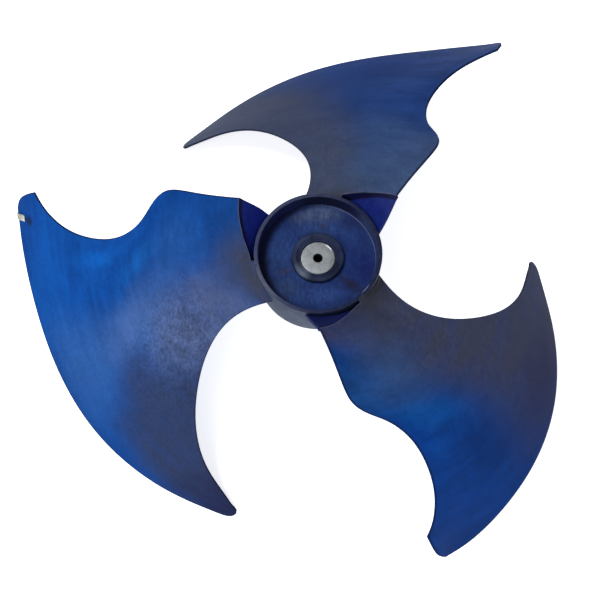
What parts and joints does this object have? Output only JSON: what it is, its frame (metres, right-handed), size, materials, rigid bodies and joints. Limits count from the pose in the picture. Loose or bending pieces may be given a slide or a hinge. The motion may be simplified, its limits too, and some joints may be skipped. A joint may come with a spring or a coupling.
{
  "type": "axial fan wheel",
  "caption": "Moulded axial fan wheel with broad swept blades, a cup-shaped hub, a metal bored bush and a balance clip on one blade edge.",
  "frame": {"origin": "on the wheel's axis, in the plane of the bush's front face", "axes": "+Z along the wheel's axis towards the air outlet side; one blade lies along +Y"},
  "size_m": [0.4389, 0.4388, 0.1479],
  "materials": {
    "blade": "worn satin moulding, blue",
    "gusset": "clean satin moulding, deep blue",
    "hub": "dusty satin moulding, navy",
    "hub_floor": "dusty satin moulding, blue",
    "boss": "satin moulding, slate blue",
    "bush": "cast, turned face",
    "clip": "plated spring steel"
  },
  "bodies": {
    "root": {"blade_1": "blade", "blade_2": "blade", "blade_3": "blade", "root_gusset_1": "gusset", "root_gusset_2": "gusset", "root_gusset_3": "gusset", "hub_drum": "hub", "hub_floor": "hub_floor", "hub_boss": "boss", "rear_rib_1": "hub", "rear_rib_2": "hub", "rear_rib_3": "hub", "rear_rib_4": "hub", "rear_rib_5": "hub", "rear_rib_6": "hub", "shaft_bush": "bush", "balance_clip": "clip"}
  },
  "joints": []
}
